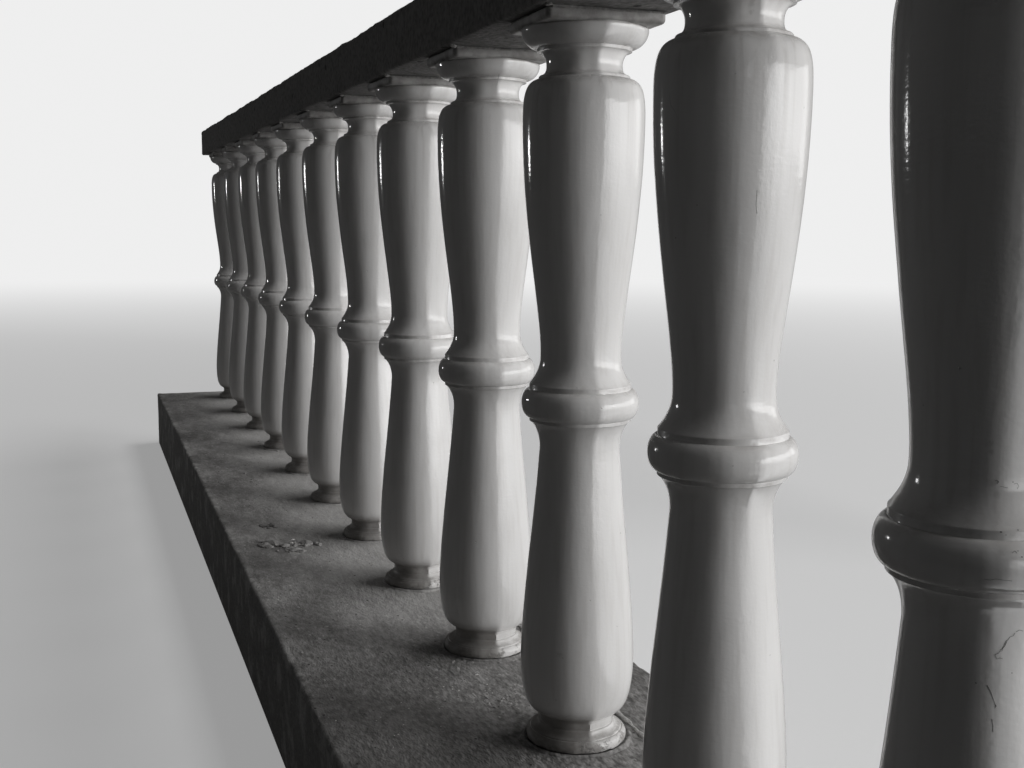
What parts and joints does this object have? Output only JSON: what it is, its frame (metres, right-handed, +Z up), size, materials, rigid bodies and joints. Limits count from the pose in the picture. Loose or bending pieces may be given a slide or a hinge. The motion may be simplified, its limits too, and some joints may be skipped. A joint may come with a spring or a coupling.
{
  "type": "stone balustrade",
  "caption": "Straight run of balustrade: turned double-vase balusters with square top blocks between a cement kerb and a plain cast rail.",
  "frame": {"origin": "on the kerb's underside, at the middle of the row's length, straight below the balusters' axes", "axes": "+X along the row, from the near end to the far end; +Y across it, towards the kerb's wide side; +Z up"},
  "size_m": [3.48, 0.397, 0.933],
  "materials": {
    "kerb_cement": "coarse sandy cement, worn and speckled",
    "rail_concrete": "dark rough cast concrete",
    "baluster_gloss": "cast stone under glossy off-white enamel, with pits and hairline cracks",
    "mortar": "rough pointed cement mortar"
  },
  "bodies": {
    "root": {"kerb": "kerb_cement", "rail": "rail_concrete", "baluster_01": "baluster_gloss", "baluster_02": "baluster_gloss", "baluster_03": "baluster_gloss", "baluster_04": "baluster_gloss", "baluster_05": "baluster_gloss", "baluster_06": "baluster_gloss", "baluster_07": "baluster_gloss", "baluster_08": "baluster_gloss", "baluster_09": "baluster_gloss", "baluster_10": "baluster_gloss", "baluster_11": "baluster_gloss", "baluster_12": "baluster_gloss", "foot_mortar_01": "mortar", "foot_mortar_02": "mortar", "foot_mortar_03": "mortar", "foot_mortar_04": "mortar", "foot_mortar_05": "mortar", "foot_mortar_06": "mortar", "foot_mortar_07": "mortar", "foot_mortar_08": "mortar", "foot_mortar_09": "mortar", "foot_mortar_10": "mortar", "foot_mortar_11": "mortar", "foot_mortar_12": "mortar", "cap_mortar_01": "mortar", "cap_mortar_02": "mortar", "cap_mortar_03": "mortar", "cap_mortar_04": "mortar", "cap_mortar_05": "mortar", "cap_mortar_06": "mortar", "cap_mortar_07": "mortar", "cap_mortar_08": "mortar", "cap_mortar_09": "mortar", "cap_mortar_10": "mortar", "cap_mortar_11": "mortar", "cap_mortar_12": "mortar"}
  },
  "joints": []
}
